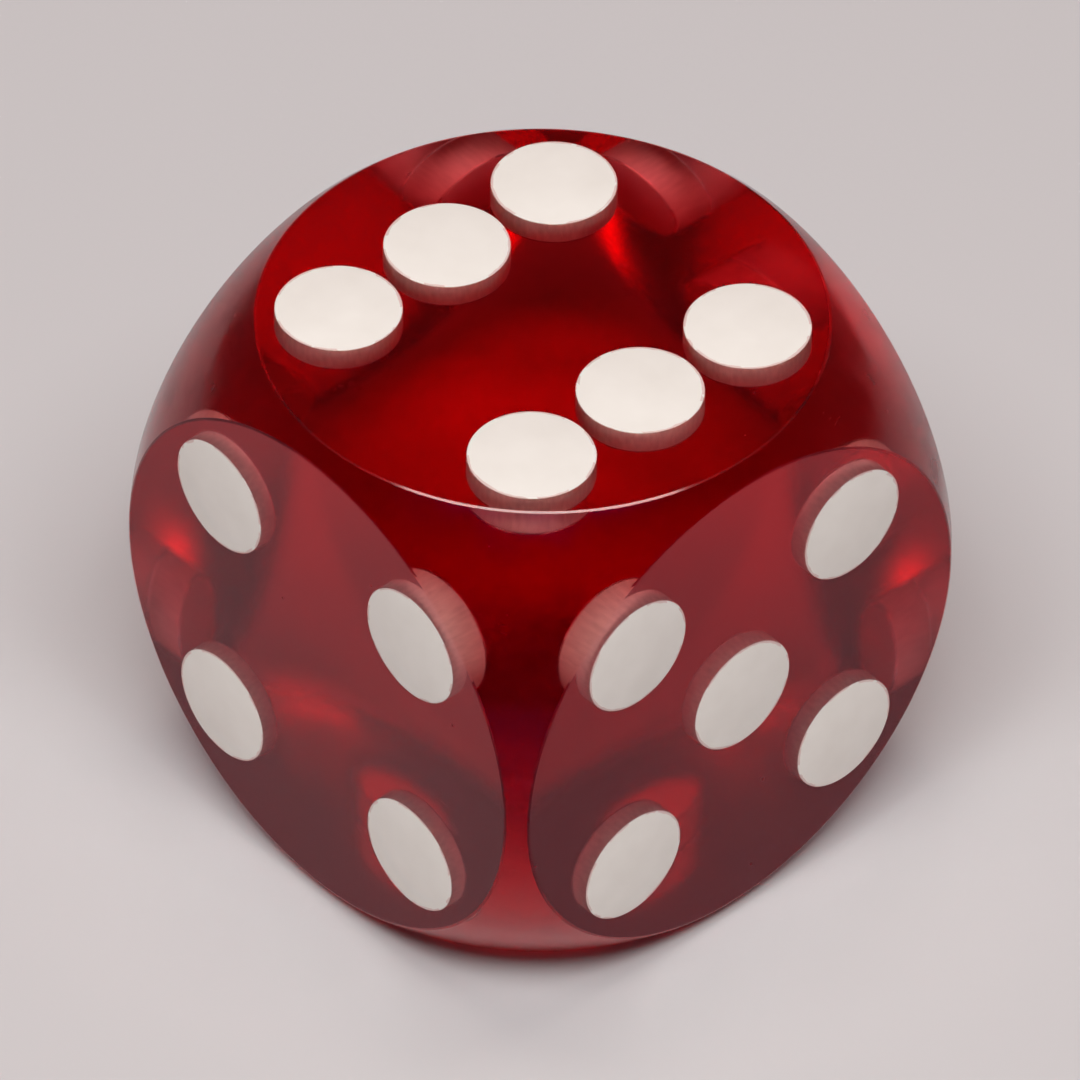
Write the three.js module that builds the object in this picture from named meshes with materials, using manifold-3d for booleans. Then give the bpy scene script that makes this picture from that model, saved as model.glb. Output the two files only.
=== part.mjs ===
// A ball-cornered precision die. A clear red block is faced flat on six sides and its corners
// are turned to one ball, which leaves a round flat on every face. Twenty-one white pips are
// cemented into flat-bottomed pockets and finished flush with the flats.
// Millimetres, +Z up. The die stands on its one, and the origin is the middle of that face.
import * as THREE from "three";
import { mergeVertices } from "three/addons/utils/BufferGeometryUtils.js";
import Module from "manifold-3d";

const wasm = await Module();
wasm.setup();

// Driving dimensions
const FACE_TO_FACE = 14.3; // across opposite flats, the 9/16 inch trade size
const PIP_DIAMETER = 3.03;
const PIP_DEPTH = 1.15; // thickness of a pip, from the flat to its inner end
const PIP_WEB = 0.37; // red left between neighbouring pips of a row
const RIM_MARGIN = 0.44; // from the outermost pips to the edge of the flat
const PIP_EDGE_BREAK = 0.08; // chamfer on the inner end of a pip, for pressing it in
const CEMENT_GAP = 0.03; // cement line round a pip and under it

// Facets
const PIP_SIDES = 32;
const BALL_DETAIL = 14; // subdivisions of each edge of the ball's icosahedron

// Sizes that follow
const HALF = FACE_TO_FACE / 2;
const PIP_RADIUS = PIP_DIAMETER / 2;
const PIP_SPACING = PIP_DIAMETER + PIP_WEB; // centre to centre along a row
const FLAT_RADIUS = Math.SQRT2 * PIP_SPACING + PIP_RADIUS + RIM_MARGIN;
const BALL_RADIUS = Math.hypot(HALF, FLAT_RADIUS); // passes through the rims of all six flats

// Where the pips of each value sit, in steps of PIP_SPACING from the middle of the face
const CENTRE = [[0, 0]];
const DIAGONAL = [[-1, -1], [1, 1]];
const CORNERS = [...DIAGONAL, [-1, 1], [1, -1]];
const MID_SIDES = [[-1, 0], [1, 0]];

// Opposite faces add up to seven. Each turn carries a flat that looks up to its own side.
const QUARTER = Math.PI / 2;
const FACES = [
  { value: "six", turn: [0, 0, 0], pips: [...CORNERS, ...MID_SIDES] }, // +Z
  { value: "five", turn: [0, QUARTER, 0], pips: [...CORNERS, ...CENTRE] }, // +X
  { value: "four", turn: [QUARTER, 0, 0], pips: CORNERS }, // -Y
  { value: "three", turn: [-QUARTER, 0, 0], pips: [...DIAGONAL, ...CENTRE] }, // +Y
  { value: "two", turn: [0, -QUARTER, 0], pips: DIAGONAL }, // -X
  { value: "one", turn: [2 * QUARTER, 0, 0], pips: CENTRE }, // -Z
];

const CLEAR_RED = new THREE.MeshStandardMaterial({
  color: 0x8a0008,
  roughness: 0.05,
  metalness: 0,
  transparent: true,
  opacity: 0.75,
});
const PIP_WHITE = new THREE.MeshStandardMaterial({
  color: 0xede4db,
  roughness: 0.45,
  metalness: 0,
});

// A closed three.js geometry as a solid that can be cut
function toSolid(geometry) {
  const bare = new THREE.BufferGeometry();
  bare.setAttribute("position", geometry.getAttribute("position"));
  bare.setIndex(geometry.index);
  const merged = mergeVertices(bare);
  return new wasm.Manifold(
    new wasm.Mesh({
      numProp: 3,
      vertProperties: merged.attributes.position.array,
      triVerts: new Uint32Array(merged.index.array),
    }),
  );
}

// A cut solid as a three.js geometry
function toGeometry(solid) {
  const mesh = solid.getMesh();
  const geometry = new THREE.BufferGeometry();
  geometry.setAttribute("position", new THREE.BufferAttribute(mesh.vertProperties, 3));
  geometry.setIndex(new THREE.BufferAttribute(mesh.triVerts, 1));
  geometry.computeVertexNormals();
  return geometry;
}

// A disc that hangs below its face at z = 0, with a chamfered inner end. The same profile,
// grown by the cement gap, cuts the pocket, and its mouth then stands proud of the face.
function plug(radius, depth, edgeBreak, proud) {
  const profile = [
    new THREE.Vector2(0, -depth),
    new THREE.Vector2(radius - edgeBreak, -depth),
    new THREE.Vector2(radius, -depth + edgeBreak),
    new THREE.Vector2(radius, proud),
    new THREE.Vector2(0, proud),
  ];
  return new THREE.LatheGeometry(profile, PIP_SIDES).rotateX(QUARTER);
}

// The frame of one face: origin in the middle of the flat, its own +Z pointing out
function faceFrame({ turn }) {
  const frame = new THREE.Group();
  frame.rotation.set(...turn);
  frame.position.set(0, 0, HALF).applyEuler(frame.rotation);
  frame.updateMatrix();
  return frame;
}

// The block, turned to the ball, with a pocket for each pip
function dieBody() {
  const block = toSolid(new THREE.BoxGeometry(FACE_TO_FACE, FACE_TO_FACE, FACE_TO_FACE));
  const ball = toSolid(new THREE.IcosahedronGeometry(BALL_RADIUS, BALL_DETAIL));
  let solid = block.intersect(ball);
  const pocket = plug(PIP_RADIUS + CEMENT_GAP, PIP_DEPTH + CEMENT_GAP, PIP_EDGE_BREAK, CEMENT_GAP);
  for (const face of FACES) {
    const { matrix } = faceFrame(face);
    for (const [column, row] of face.pips) {
      const cutter = pocket.clone().translate(column * PIP_SPACING, row * PIP_SPACING, 0);
      solid = solid.subtract(toSolid(cutter.applyMatrix4(matrix)));
    }
  }
  const body = new THREE.Mesh(toGeometry(solid), CLEAR_RED);
  body.name = "die_body";
  return body;
}

// The pips of one face, each its own disc, numbered in the order of the pattern
function facePips(face) {
  const frame = faceFrame(face);
  face.pips.forEach(([column, row], index) => {
    const pip = new THREE.Mesh(plug(PIP_RADIUS, PIP_DEPTH, PIP_EDGE_BREAK, 0), PIP_WHITE);
    pip.name = `${face.value}_pip_${index + 1}`;
    pip.position.set(column * PIP_SPACING, row * PIP_SPACING, 0);
    frame.add(pip);
  });
  return frame;
}

const middle = new THREE.Group();
middle.position.z = HALF;
middle.add(dieBody(), ...FACES.map(facePips));

const die = new THREE.Group();
die.name = "precision_die";
die.add(middle);

export default die;
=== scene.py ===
# %% [markdown]
# # A ball-cornered precision die
# The object is a small game die: a block of clear red plastic with ball-turned corners and round flats,
# and white pips let into the flats. The solids give every size and place that is used here. This lesson
# dresses them: a fine glassy block, its pips, their finishes, and a small studio to see them in.

# %% Load the frame
import math

import bpy
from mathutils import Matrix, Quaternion, Vector


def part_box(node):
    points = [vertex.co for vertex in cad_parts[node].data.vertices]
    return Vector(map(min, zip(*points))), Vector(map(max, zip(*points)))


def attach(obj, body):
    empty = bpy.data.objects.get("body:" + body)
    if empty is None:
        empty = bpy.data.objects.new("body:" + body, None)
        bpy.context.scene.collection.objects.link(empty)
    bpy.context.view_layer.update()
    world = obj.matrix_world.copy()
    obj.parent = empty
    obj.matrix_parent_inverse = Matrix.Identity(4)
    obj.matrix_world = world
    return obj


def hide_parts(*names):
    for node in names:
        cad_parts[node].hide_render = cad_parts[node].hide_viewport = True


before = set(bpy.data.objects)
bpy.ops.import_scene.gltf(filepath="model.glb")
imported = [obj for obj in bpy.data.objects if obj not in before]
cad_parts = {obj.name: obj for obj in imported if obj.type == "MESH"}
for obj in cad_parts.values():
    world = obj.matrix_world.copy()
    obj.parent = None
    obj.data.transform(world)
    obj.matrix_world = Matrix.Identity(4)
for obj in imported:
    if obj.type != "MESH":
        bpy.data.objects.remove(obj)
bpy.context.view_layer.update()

print("solids loaded:", len(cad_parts))

# %% [markdown]
# ## What the solids say
# The block is a cube that a ball has been cut down to, so three numbers describe it: the distance across
# the flats, the ball's radius and, from those two, the radius of a flat. They could be typed in again,
# but reading them off the solids keeps both models alike when a size changes. The corners of the solid
# block lie on the ball, so the point that is furthest from the middle gives the ball's radius.

# %% Measure the block
block_low, block_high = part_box("die_body")
CENTRE = (block_low + block_high) / 2
HALF = (block_high.z - block_low.z) / 2
BALL_RADIUS = max((vertex.co - CENTRE).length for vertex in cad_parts["die_body"].data.vertices)
FLAT_RADIUS = math.sqrt(BALL_RADIUS**2 - HALF**2)
MM = 0.001
print(f"across flats {2 * HALF / MM:.2f} mm, ball {BALL_RADIUS / MM:.2f} mm, flat {FLAT_RADIUS / MM:.2f} mm")

# %% [markdown]
# A pip is a disc, so the shortest side of its box is its thickness, and that side also tells which flat
# the pip belongs to. Each pip is described by its seat: the middle of its outer face, and the way out.

# %% Measure the pips
PIP_NODES = sorted(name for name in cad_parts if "_pip_" in name)


def seat_of(node):
    """The middle of a pip's outer face, and the way that face looks."""
    low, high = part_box(node)
    size = high - low
    axis = min(range(3), key=lambda index: size[index])
    middle = (low + high) / 2
    way_out = Vector()
    way_out[axis] = math.copysign(1, middle[axis] - CENTRE[axis])
    return middle + way_out * size[axis] / 2, way_out


SEATS = {node: seat_of(node) for node in PIP_NODES}
pip_low, pip_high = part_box("six_pip_1")
PIP_RADIUS = (pip_high.x - pip_low.x) / 2
PIP_DEPTH = pip_high.z - pip_low.z
print(f"{len(SEATS)} pips, {2 * PIP_RADIUS / MM:.2f} mm across and {PIP_DEPTH / MM:.2f} mm deep")

# %% [markdown]
# ## The camera
# The camera looks down at the corner between the four, the five and the six, from a little more than a
# hand's span away through a long lens. It could be aimed by eye, but its angles and its distance were
# fitted to the rims of the flats and pips, so they are typed in. The lens is longer than the fitted one,
# so that the die fills the frame.

# %% Place the camera
VIEW_AZIMUTH = math.radians(47.63)
VIEW_ELEVATION = math.radians(42.88)
VIEW_ROLL = math.radians(0.757)
VIEW_DISTANCE = 36.73 * HALF
LENS_MM = 366


def direction(azimuth, elevation):
    """The way from the die to something at that azimuth from -Y towards +X, and that height, in radians."""
    level = math.cos(elevation)
    return Vector((math.sin(azimuth) * level, -math.cos(azimuth) * level, math.sin(elevation)))


way_to_camera = direction(VIEW_AZIMUTH, VIEW_ELEVATION)
aim = way_to_camera.to_track_quat("Z", "Y") @ Quaternion((0, 0, 1), VIEW_ROLL)
bpy.ops.object.camera_add(location=CENTRE + VIEW_DISTANCE * way_to_camera, rotation=aim.to_euler())
camera = bpy.context.object
camera.data.lens = LENS_MM
bpy.context.scene.camera = camera
print(f"camera {VIEW_DISTANCE / MM:.0f} mm from the middle of the die")

# %% [markdown]
# ## The block
# A maker turns the corners of the block to a ball and faces the six flats, then breaks each rim lightly.
# Starting from a cube would leave the ball to be modelled afterwards, so this starts from the ball, which
# is fine enough to look round when light bends through it. Every operator acts on all that is selected, so
# a small helper first selects one object alone.

# %% Turn the ball
BALL_SEGMENTS = 384
BALL_RINGS = 192


def only(piece):
    """Makes one object the active one, and the only one that is selected."""
    bpy.ops.object.select_all(action="DESELECT")
    piece.select_set(True)
    bpy.context.view_layer.objects.active = piece


bpy.ops.object.select_all(action="DESELECT")
bpy.ops.mesh.primitive_uv_sphere_add(
    segments=BALL_SEGMENTS, ring_count=BALL_RINGS, radius=BALL_RADIUS, location=CENTRE
)
block = bpy.context.object
block.name = "die_block"
bpy.ops.object.transform_apply(location=True, rotation=True, scale=True)
bpy.ops.object.shade_smooth()
only(block)
bpy.ops.object.duplicate()
smooth_ball = bpy.context.object
print("ball faces:", len(block.data.polygons))

# %% [markdown]
# Facing is done like work on a lathe, once along each axis. The tool is a spindle: two flat ends as far
# apart as the flats, and between them two wide cones that shave the rims to a narrow chamfer. What a
# spindle and the ball have in common is the faced ball, so the cut is a Boolean intersection. The chamfer
# lies halfway between the slope of the flat and the slope of the ball at the rim.

# %% Face the flats and break their rims
RIM_SIDES = 384
EDGE_BREAK = 0.035 * MM
LOOKS_DOWN = -0.9
RIM_SLOPE = math.asin(FLAT_RADIUS / BALL_RADIUS) / 2
END_RADIUS = FLAT_RADIUS - EDGE_BREAK
WAIST_RADIUS = END_RADIUS + HALF / math.tan(RIM_SLOPE)


def facing_spindle(axis):
    """A solid with a flat end at each flat of one axis, and a chamfering cone behind each end."""
    bpy.ops.object.select_all(action="DESELECT")
    bpy.ops.mesh.primitive_cone_add(
        vertices=RIM_SIDES, radius1=WAIST_RADIUS, radius2=END_RADIUS, depth=HALF, location=(0, 0, HALF / 2)
    )
    spindle = bpy.context.object
    bpy.ops.object.transform_apply(location=True)
    bpy.ops.object.mode_set(mode="EDIT")
    bpy.ops.mesh.select_all(action="DESELECT")
    bpy.ops.object.mode_set(mode="OBJECT")
    for face in spindle.data.polygons:
        face.select = face.normal.z < LOOKS_DOWN
    bpy.ops.object.mode_set(mode="EDIT")
    bpy.ops.mesh.select_mode(type="FACE")
    bpy.ops.mesh.extrude_region_move(TRANSFORM_OT_translate={"value": (0, 0, -HALF)})
    shrink = END_RADIUS / WAIST_RADIUS
    bpy.ops.transform.resize(value=(shrink, shrink, 1), center_override=(0, 0, -HALF))
    bpy.ops.object.mode_set(mode="OBJECT")
    spindle.rotation_mode = "QUATERNION"
    spindle.rotation_quaternion = axis.to_track_quat("Z", "Y")
    spindle.location = CENTRE
    bpy.ops.object.transform_apply(location=True, rotation=True, scale=True)
    return spindle


def cut(piece, operation, tool):
    """Cuts a piece with a tool, as a Boolean modifier that is applied, and takes the tool away."""
    only(piece)
    modifier = piece.modifiers.new("cut", "BOOLEAN")
    modifier.operation = operation
    modifier.solver = "MANIFOLD"
    modifier.object = tool
    bpy.ops.object.modifier_apply(modifier=modifier.name)
    bpy.data.objects.remove(tool)


AXES = (Vector((1, 0, 0)), Vector((0, 1, 0)), Vector((0, 0, 1)))
for axis in AXES:
    cut(block, "INTERSECT", facing_spindle(axis))
print("block faces after facing:", len(block.data.polygons))

# %% [markdown]
# Each pip sits in a flat-bottomed pocket, drilled square to its flat. On the real die the cement fills the
# gap round the disc, so no air shows between plastic and pip. To get that look, the pocket here is a
# hair smaller than the disc: light inside the block then meets the white wall itself.

# %% Drill the pockets
POCKET_SIDES = 96
BOND = 0.01 * MM

bpy.ops.object.select_all(action="DESELECT")
drills = []
for outer, way_out in SEATS.values():
    bpy.ops.mesh.primitive_cylinder_add(
        vertices=POCKET_SIDES,
        radius=PIP_RADIUS - BOND,
        depth=2 * (PIP_DEPTH - BOND),
        location=outer,
        rotation=way_out.to_track_quat("Z", "Y").to_euler(),
    )
    drills.append(bpy.context.object)
bpy.ops.object.select_all(action="DESELECT")
for drill in drills:
    drill.select_set(True)
bpy.context.view_layer.objects.active = drills[0]
bpy.ops.object.join()
cut(block, "DIFFERENCE", bpy.context.object)
print("block faces after drilling:", len(block.data.polygons))

# %% [markdown]
# A Boolean leaves long thin faces beside its cuts, and smooth shading would average their normals into
# smears on glassy plastic. Two modifiers repair that, as they would by hand. Weighted Normal lets the wide
# flats win over their narrow chamfers. Data Transfer then gives the turned corners the normals of the
# uncut ball, which was kept for this.

# %% Smooth the shading
SHARP_ANGLE = math.radians(30)
ON_BALL = 0.001 * MM

only(block)
bpy.ops.object.shade_smooth_by_angle(angle=SHARP_ANGLE)
weighted = block.modifiers.new("flats", "WEIGHTED_NORMAL")
weighted.keep_sharp = True
bpy.ops.object.modifier_apply(modifier=weighted.name)
turned = block.vertex_groups.new(name="turned")
on_ball = [
    vertex.index
    for vertex in block.data.vertices
    if abs((vertex.co - CENTRE).length - BALL_RADIUS) < ON_BALL
]
turned.add(on_ball, 1, "REPLACE")
transfer = block.modifiers.new("corners", "DATA_TRANSFER")
transfer.object = smooth_ball
transfer.use_loop_data = True
transfer.data_types_loops = {"CUSTOM_NORMAL"}
transfer.loop_mapping = "POLYINTERP_NEAREST"
transfer.vertex_group = turned.name
bpy.ops.object.modifier_apply(modifier=transfer.name)
bpy.data.objects.remove(smooth_ball)
print("vertices on the ball:", len(on_ball), "of", len(block.data.vertices))

# %% [markdown]
# The chamfers are so narrow that this smoothing rounds them over, while a broken edge is flat. So their
# corners get the normals of their own faces back. The chamfers are the only faces beside the ball that lean
# a little from an axis: a flat stands square to one, and the ball's own faces lean more. Only the rim of
# the six shines, most at the corner of the four and the five and less and less towards the other side. So
# the mesh also notes how much each face shines, as an attribute with one number for each.

# %% Square up the chamfers
SQUARE = 0.99
LEAN = 0.8
BESIDE_BALL = 0.1 * MM
SHINING_SIDE = Vector((1, -1, 0)).normalized()

normals = [corner.vector.copy() for corner in block.data.corner_normals]
bright_rim = block.data.attributes.new("bright_rim", "FLOAT", "FACE")
chamfer_faces = 0
for face, mark in zip(block.data.polygons, bright_rim.data):
    leans = LEAN < max(abs(part) for part in face.normal) < SQUARE
    if leans and (face.center - CENTRE).length > BALL_RADIUS - BESIDE_BALL:
        chamfer_faces += 1
        if face.normal.z > LEAN:
            mark.value = max(0, face.normal.dot(SHINING_SIDE)) / math.sin(RIM_SLOPE)
        for corner in face.loop_indices:
            normals[corner] = face.normal.copy()
block.data.normals_split_custom_set(normals)
print("faces of the chamfers:", chamfer_faces)

# %% [markdown]
# ## The pips
# A pip is a short disc of white plastic. Its inner end is chamfered so that it presses in, and its outer
# edge is hardly broken, because it was polished level with the flat. A plain cylinder is a good start, and
# bevelling its two rims makes the disc. One is modelled with its outer face at the origin, looking up.

# %% Model one pip
PIP_SIDES = 96
INNER_BREAK = 0.08 * MM
INNER_STEPS = 2
OUTER_BREAK = 0.03 * MM
OUTER_STEPS = 3
OFF_LEVEL = 0.001 * MM


def bevel_rim(piece, height, offset, segments):
    """Bevels the ring of edges that lies at one height."""
    bpy.ops.object.mode_set(mode="EDIT")
    bpy.ops.mesh.select_mode(type="EDGE")
    bpy.ops.mesh.select_all(action="DESELECT")
    bpy.ops.object.mode_set(mode="OBJECT")
    for edge in piece.data.edges:
        ends = [piece.data.vertices[index].co.z for index in edge.vertices]
        edge.select = all(abs(end - height) < OFF_LEVEL for end in ends)
    bpy.ops.object.mode_set(mode="EDIT")
    bpy.ops.mesh.bevel(offset=offset, segments=segments, affect="EDGES")
    bpy.ops.object.mode_set(mode="OBJECT")


bpy.ops.object.select_all(action="DESELECT")
bpy.ops.mesh.primitive_cylinder_add(
    vertices=PIP_SIDES, radius=PIP_RADIUS, depth=PIP_DEPTH, location=(0, 0, -PIP_DEPTH / 2)
)
pip = bpy.context.object
bpy.ops.object.transform_apply(location=True)
bevel_rim(pip, 0, OUTER_BREAK, OUTER_STEPS)
bevel_rim(pip, -PIP_DEPTH, INNER_BREAK, INNER_STEPS)
only(pip)
bpy.ops.object.shade_smooth_by_angle(angle=SHARP_ANGLE)
print("faces of a pip:", len(pip.data.polygons))

# %% [markdown]
# The other pips are copies, each with a mesh of its own, turned and moved to its seat. The turn and the
# place are then applied, so that the finished object sits at the origin and its place is in its mesh.

# %% Copy the pip to every seat
pips = {}
for node, (outer, way_out) in SEATS.items():
    only(pip)
    bpy.ops.object.duplicate()
    disc = bpy.context.object
    disc.name = node.replace("pip", "spot")
    disc.rotation_mode = "QUATERNION"
    disc.rotation_quaternion = way_out.to_track_quat("Z", "Y")
    disc.location = outer
    bpy.ops.object.transform_apply(location=True, rotation=True, scale=True)
    pips[node] = disc
bpy.data.objects.remove(pip)
print("pips set:", len(pips))

# %% [markdown]
# ## Writing finishes
# A finish is a tree of shader nodes. Adding nodes one by one hides the idea behind it, so one class wraps
# a socket and lets ordinary arithmetic add the Math nodes. Every other node comes from one method that
# takes the node's type, its settings and its sockets.

# %% Helpers for finishes
class Value:
    """A number or colour that runs over a surface. Arithmetic on it adds Math nodes."""

    def __init__(self, finish, socket):
        self.finish = finish
        self.socket = socket

    def maths(self, operation, *values):
        return self.finish.add("ShaderNodeMath", {"operation": operation}, dict(enumerate(values)))

    def __add__(self, other):
        return self.maths("ADD", self, other)

    def __sub__(self, other):
        return self.maths("SUBTRACT", self, other)

    def __rsub__(self, other):
        return self.maths("SUBTRACT", other, self)

    def __mul__(self, other):
        return self.maths("MULTIPLY", self, other)

    def __gt__(self, other):
        return self.maths("GREATER_THAN", self, other)

    def __lt__(self, other):
        return self.maths("LESS_THAN", self, other)

    __radd__ = __add__
    __rmul__ = __mul__


class Finish:
    """A material and the nodes that make it."""

    def __init__(self, name):
        self.material = bpy.data.materials.new(name)
        self.material.use_nodes = True
        self.tree = self.material.node_tree
        self.tree.nodes.clear()

    def add(self, kind, settings, sockets, out=0):
        """Adds a node: its settings first, then the values or links of its sockets."""
        node = self.tree.nodes.new(kind)
        for name, setting in settings.items():
            setattr(node, name, setting)
        for name, value in sockets.items():
            if isinstance(value, Value):
                self.tree.links.new(value.socket, node.inputs[name])
            else:
                node.inputs[name].default_value = value
        return Value(self, node.outputs[out]) if node.outputs else node

    def place(self):
        """Where a point lies in the die's own frame, in metres."""
        return self.add("ShaderNodeTexCoord", {}, {}, "Object")

    def noise(self, size, detail=2.0, stretch=(1, 1, 1), vector=None):
        """Soft random patches of about that size, from 0 to 1. A stretch below 1 draws them out."""
        vector = self.add("ShaderNodeMapping", {}, {"Vector": vector or self.place(), "Scale": stretch})
        return self.add("ShaderNodeTexNoise", {}, {"Vector": vector, "Scale": 1 / size, "Detail": detail})

    def distance(self, vector, point):
        """How far a place on the surface lies from one point."""
        return self.add("ShaderNodeVectorMath", {"operation": "DISTANCE"}, {0: vector, 1: point}, "Value")

    def mix(self, factor, first, second):
        """A colour between two."""
        return self.add("ShaderNodeMix", {"data_type": "RGBA"}, {0: factor, 6: first, 7: second}, 2)

    def wear(self, piece):
        """Puts the finish on a piece."""
        piece.data.materials.clear()
        piece.data.materials.append(self.material)


print("finish helpers ready")

# %% [markdown]
# ## Clear red plastic
# The block is cast cellulose acetate, and its surface tells how it was made and used. The corners keep the
# polish of the turning, but they are rubbed in patches. The flats were lapped after the pips went in, so
# they are a little softer, and that blurs what is seen deep inside. The six is clearer than the other
# flats, because fingers hold a die by its sides. Handling also leaves smudges, a few specks and faint
# scuffs. These could be modelled as dents, but they are far too fine, so all of them change the roughness.

# %% Roughness of the red
SIDE_ROUGHNESS = 0.16
SIX_ROUGHNESS = 0.12
CORNER_ROUGHNESS = 0.08
TURNED_DEPTH = 0.03 * MM
RUB_SIZE, RUB_ROUGHNESS = 1.5 * MM, 0.5
SMUDGE_SIZE, SMUDGE_ROUGHNESS = 4 * MM, 0.04
SCUFF_SIZE, SCUFF_STRETCH, SCUFF_FROM, SCUFF_ROUGHNESS = 0.5 * MM, (1, 1, 9), 0.66, 0.07
SCUFFED_SIZE, SCUFFED_FROM = 2.5 * MM, 0.56
SPECK_SPACING, SPECK_REACH, SPECK_ROUGHNESS = 1.3 * MM, 0.03, 0.4


def polish(finish):
    """The roughness that turning left on the corners, and lapping on the flats."""
    turned = finish.distance(finish.place(), CENTRE) > BALL_RADIUS - TURNED_DEPTH
    patches = finish.noise(RUB_SIZE, 5)
    rubbed = RUB_ROUGHNESS * patches * patches * patches
    height = finish.add("ShaderNodeSeparateXYZ", {}, {"Vector": finish.place()}, "Z")
    six = height > block_high.z - TURNED_DEPTH
    lapped = SIDE_ROUGHNESS + (SIX_ROUGHNESS - SIDE_ROUGHNESS) * six
    return lapped + (CORNER_ROUGHNESS + rubbed - lapped) * turned


def handling(finish):
    """The roughness that smudges, scuffs and specks add."""
    smudges = finish.noise(SMUDGE_SIZE, 4)
    scuffed = finish.noise(SCUFFED_SIZE) > SCUFFED_FROM
    scuffs = (finish.noise(SCUFF_SIZE, 3, SCUFF_STRETCH) > SCUFF_FROM) * scuffed
    cells = {"Vector": finish.place(), "Scale": 1 / SPECK_SPACING}
    specks = finish.add("ShaderNodeTexVoronoi", {}, cells, "Distance") < SPECK_REACH
    return SMUDGE_ROUGHNESS * smudges + SCUFF_ROUGHNESS * scuffs + SPECK_ROUGHNESS * specks


print("corner, six and side roughness:", CORNER_ROUGHNESS, SIX_ROUGHNESS, SIDE_ROUGHNESS)

# %% [markdown]
# The red isn't on the surface: it deepens with the length of the way through, which is why a pip's wall
# just under the flat looks pink and the far corners look almost black. A red surface colour alone would
# tint every way alike. So the surface is nearly clear, and Volume Absorption takes the green and the blue
# away inside. The bright rim of the six has a coat over it.

# %% Make the clear red
RED_INDEX = 1.49
ABSORBED_PER_METRE = 350
PASSED = (0.90, 0.0, 0.1, 1)
SURFACE_TINT = (1, 0.75, 0.75, 1)
MIRROR_TINT = (0.4, 0.0, 0.2, 1)
RIM_INDEX = 2.0
RIM_ROUGHNESS = 0.1


def clear_red():
    """The finish of the block."""
    finish = Finish("clear_red")
    surface = finish.add(
        "ShaderNodeBsdfPrincipled",
        {},
        {
            "Base Color": SURFACE_TINT,
            "Roughness": polish(finish) + handling(finish),
            "IOR": RED_INDEX,
            "Specular Tint": MIRROR_TINT,
            "Transmission Weight": 1,
            "Coat Weight": finish.add("ShaderNodeAttribute", {"attribute_name": "bright_rim"}, {}, "Fac"),
            "Coat Roughness": RIM_ROUGHNESS,
            "Coat IOR": RIM_INDEX,
        },
    )
    inside = finish.add(
        "ShaderNodeVolumeAbsorption", {}, {"Color": PASSED, "Density": ABSORBED_PER_METRE}
    )
    finish.add("ShaderNodeOutputMaterial", {}, {"Surface": surface, "Volume": inside})
    return finish


clear_red().wear(block)
print("clear red on", block.name)

# %% [markdown]
# ## Pip white
# The pips are a filled white plastic, a little warm, with a cloudy tone where the filler lies unevenly. In
# places a pinkish line lies along the very edge of the outer face. It is partly red cement and partly
# painted shade at the seam between pip and plastic. Round the wall the cement shows as fine streaks that run
# inwards.
# The disc's own UV map tells these places apart: its outer face is a round island in the lower half, and its
# wall fills the upper half.

# %% Colours of a pip
ISLAND_MIDDLE = (0.25, 0.25, 0)
ISLAND_RADIUS = 0.24
ISLAND_TOP = 0.5
BRIGHT_WHITE, DULL_WHITE = (0.97, 0.96, 0.89, 1), (0.85, 0.83, 0.76, 1)
# The pinkish edge colour is partly red cement and partly painted shade at the seam between pip and plastic.
CEMENT_AND_SHADE_RED, CEMENT_AND_SHADE_STRENGTH = (0.70, 0.44, 0.40, 1), 0.6
EDGE_FROM, EDGE_TO = 0.99, 1.01
RAGGED_SIZE, RAGGED_DEPTH = 0.3 * MM, 0.07
CEMENT_AND_SHADE_PATCH_SIZE, CEMENT_AND_SHADE_PATCH_FROM = 0.9 * MM, 0.47
CLEAR_CEMENT, DARK_CEMENT = (1.0, 0.90, 0.77, 1), (0.62, 0.48, 0.40, 1)
STREAK_WIDTH, STREAK_STRETCH = 0.012, (1, 0.05, 1)


def face_colour(finish, unwrapped, clouds):
    """Cloudy white, with a pinkish line along the edge in places: partly red cement, partly painted shade at
    the seam.
    """
    white = finish.mix(clouds, BRIGHT_WHITE, DULL_WHITE)
    from_middle = finish.distance(unwrapped, ISLAND_MIDDLE) * (1 / ISLAND_RADIUS)
    ragged = from_middle + RAGGED_DEPTH * finish.noise(RAGGED_SIZE, 3)
    cement_and_shade_patches = finish.noise(CEMENT_AND_SHADE_PATCH_SIZE) > CEMENT_AND_SHADE_PATCH_FROM
    # The pinkish line is painted in patches along the edge: partly cement, partly painted seam shade.
    edge = (ragged > EDGE_FROM) * (from_middle < EDGE_TO) * cement_and_shade_patches
    return finish.mix(edge * CEMENT_AND_SHADE_STRENGTH, white, CEMENT_AND_SHADE_RED)


def wall_colour(finish, unwrapped):
    """Cement in fine streaks."""
    streaks = finish.noise(STREAK_WIDTH, 4, STREAK_STRETCH, unwrapped)
    return finish.mix(streaks, CLEAR_CEMENT, DARK_CEMENT)


print("a pip's edge starts at", EDGE_FROM, "of its radius")

# %% [markdown]
# Lapping the pips level with the flats leaves a satin face. Its grain is too fine for the mesh, so a Bump
# node suggests it, and the clouds make the gloss uneven.

# %% Make the pip white
CLOUD_SIZE = 1.2 * MM
SATIN, UNEVEN = 0.4, 0.15
GRAIN_SIZE, GRAIN_DEPTH, GRAIN_STRENGTH = 0.05 * MM, 0.01 * MM, 0.1


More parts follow.
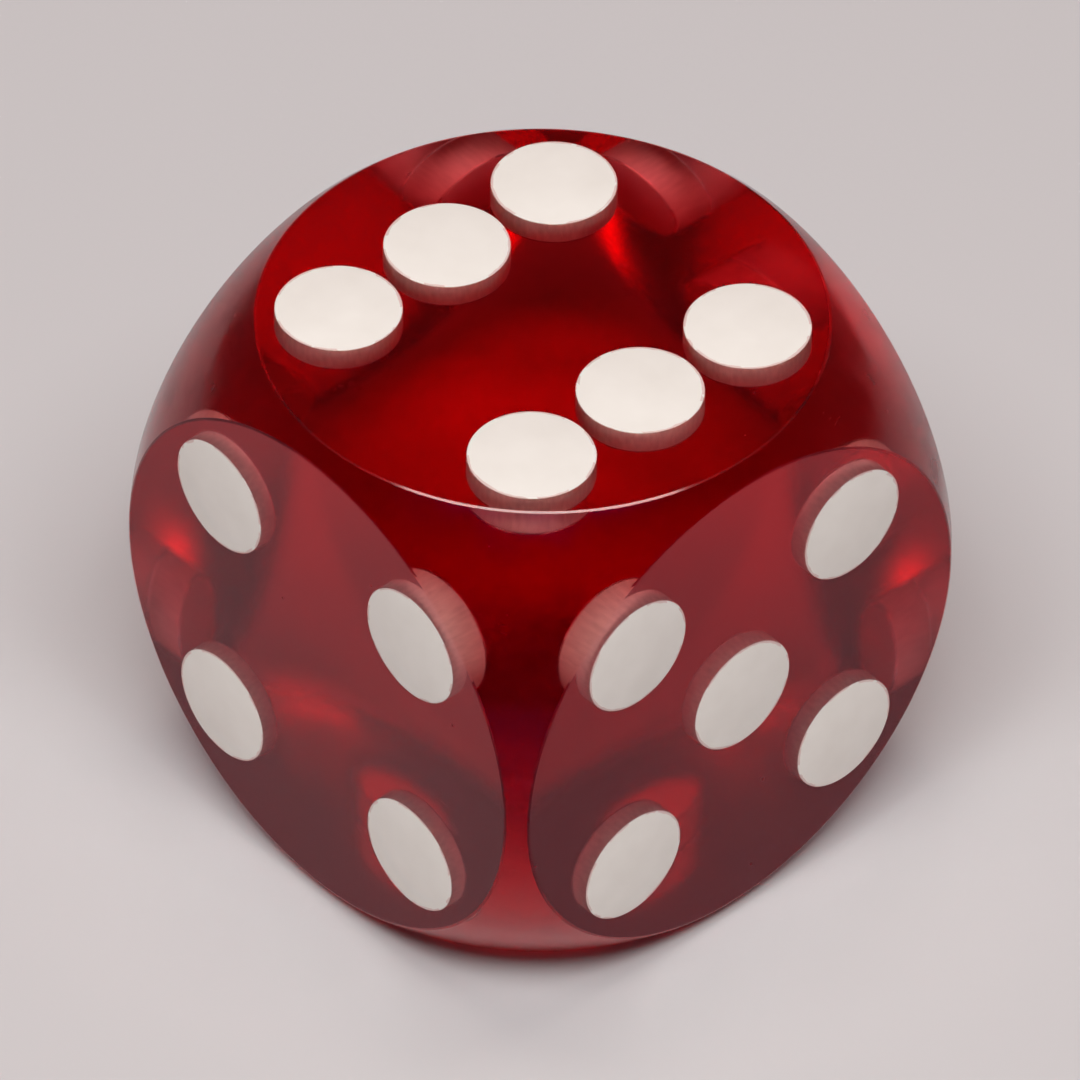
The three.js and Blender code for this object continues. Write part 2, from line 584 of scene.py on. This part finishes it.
def pip_white():
    """The finish of the pips."""
    finish = Finish("pip_white")
    clouds = finish.noise(CLOUD_SIZE, 3)
    unwrapped = finish.add("ShaderNodeTexCoord", {}, {}, "UV")
    wall = finish.add("ShaderNodeSeparateXYZ", {}, {"Vector": unwrapped}, "Y") > ISLAND_TOP
    colour = finish.mix(wall, face_colour(finish, unwrapped, clouds), wall_colour(finish, unwrapped))
    grain = {"Strength": GRAIN_STRENGTH, "Distance": GRAIN_DEPTH, "Height": finish.noise(GRAIN_SIZE)}
    surface = finish.add(
        "ShaderNodeBsdfPrincipled",
        {},
        {
            "Base Color": colour,
            "Roughness": SATIN + UNEVEN * clouds,
            "Normal": finish.add("ShaderNodeBump", {}, grain, "Normal"),
        },
    )
    finish.add("ShaderNodeOutputMaterial", {}, {"Surface": surface})
    return finish


white = pip_white()
for disc in pips.values():
    white.wear(disc)
print("pip white on", len(pips), "pips")

# %% [markdown]
# ## The studio
# A warm strip light hangs overhead, a little behind the die, where it draws the bright line along the rim
# of the six. Three softboxes stand high on the camera's side. They could stand lower and light the side
# faces more, but the front corner is a mirror, so all the lamps are placed where it would show them only
# in the parts that the flats cut off.

# %% Hang the lamps
LAMP_DISTANCE = 0.40
# Azimuth from the camera, elevation, half the width and half the depth in degrees, then the level
LAMPS = {
    "overhead_strip": (0, 96, 22, 6, 0.18),
    "middle_box": (0, 60, 9, 9, 0.27),
    "left_box": (-35, 60, 10, 10, 0.27),
    "right_box": (35, 60, 10, 10, 0.24),
}
STRIP_COLOUR = (1.0, 0.88, 0.80)


def softbox(name, azimuth, elevation, width, depth, level):
    """A soft lamp that looks at the die and gives a white surface facing it that much light."""
    way = direction(VIEW_AZIMUTH + math.radians(azimuth), math.radians(elevation))
    bpy.ops.object.light_add(
        type="AREA",
        location=CENTRE + LAMP_DISTANCE * way,
        rotation=way.to_track_quat("Z", "Y").to_euler(),
    )
    box = bpy.context.object
    box.name = name
    box.data.shape = "ELLIPSE"
    box.data.size = 2 * LAMP_DISTANCE * math.tan(math.radians(width))
    box.data.size_y = 2 * LAMP_DISTANCE * math.tan(math.radians(depth))
    box.data.energy = level * math.pi**2 * (LAMP_DISTANCE**2 + box.data.size * box.data.size_y / 4)


for name, settings in LAMPS.items():
    softbox(name, *settings)
bpy.data.objects["overhead_strip"].data.color = STRIP_COLOUR
print("lamps:", *LAMPS)

# %% [markdown]
# The die stands on a plain pale card. The room is dim, because it shows in the plastic too. Light that is
# bent through the block should keep its pattern on the card, so Cycles must not blur it, and it needs many
# bounces to find its way out.

# %% Lay the card and dim the room
FLOOR_SIZE = 0.2
FLOOR_GAP = 0.02 * MM
FLOOR_GREY = 0.66
ROOM_COLOUR = (0.11, 0.05, 0.06, 1)
CAUSTIC_BLUR = 0.1
BOUNCES = 24
MIRROR_BOUNCES = 16

bpy.ops.object.select_all(action="DESELECT")
bpy.ops.mesh.primitive_plane_add(size=FLOOR_SIZE, location=(0, 0, block_low.z - FLOOR_GAP))
floor = bpy.context.object
floor.name = "studio_floor"
floor_finish = Finish("floor_grey")
floor_surface = floor_finish.add(
    "ShaderNodeBsdfDiffuse", {}, {"Color": (FLOOR_GREY, FLOOR_GREY, FLOOR_GREY, 1)}
)
floor_finish.add("ShaderNodeOutputMaterial", {}, {"Surface": floor_surface})
floor_finish.wear(floor)

scene = bpy.context.scene
scene.world = bpy.data.worlds.new("dim_room")
scene.world.use_nodes = True
scene.world.node_tree.nodes["Background"].inputs["Color"].default_value = ROOM_COLOUR
scene.view_settings.view_transform = "Standard"
scene.cycles.max_bounces = BOUNCES
scene.cycles.transmission_bounces = BOUNCES
scene.cycles.glossy_bounces = MIRROR_BOUNCES
scene.cycles.blur_glossy = CAUSTIC_BLUR
print("card:", FLOOR_SIZE, "m wide, room:", ROOM_COLOUR[:3])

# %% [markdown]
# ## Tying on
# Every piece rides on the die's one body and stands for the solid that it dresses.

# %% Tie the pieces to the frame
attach(block, "root")
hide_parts("die_body")
for node, disc in pips.items():
    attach(disc, "root")
    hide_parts(node)
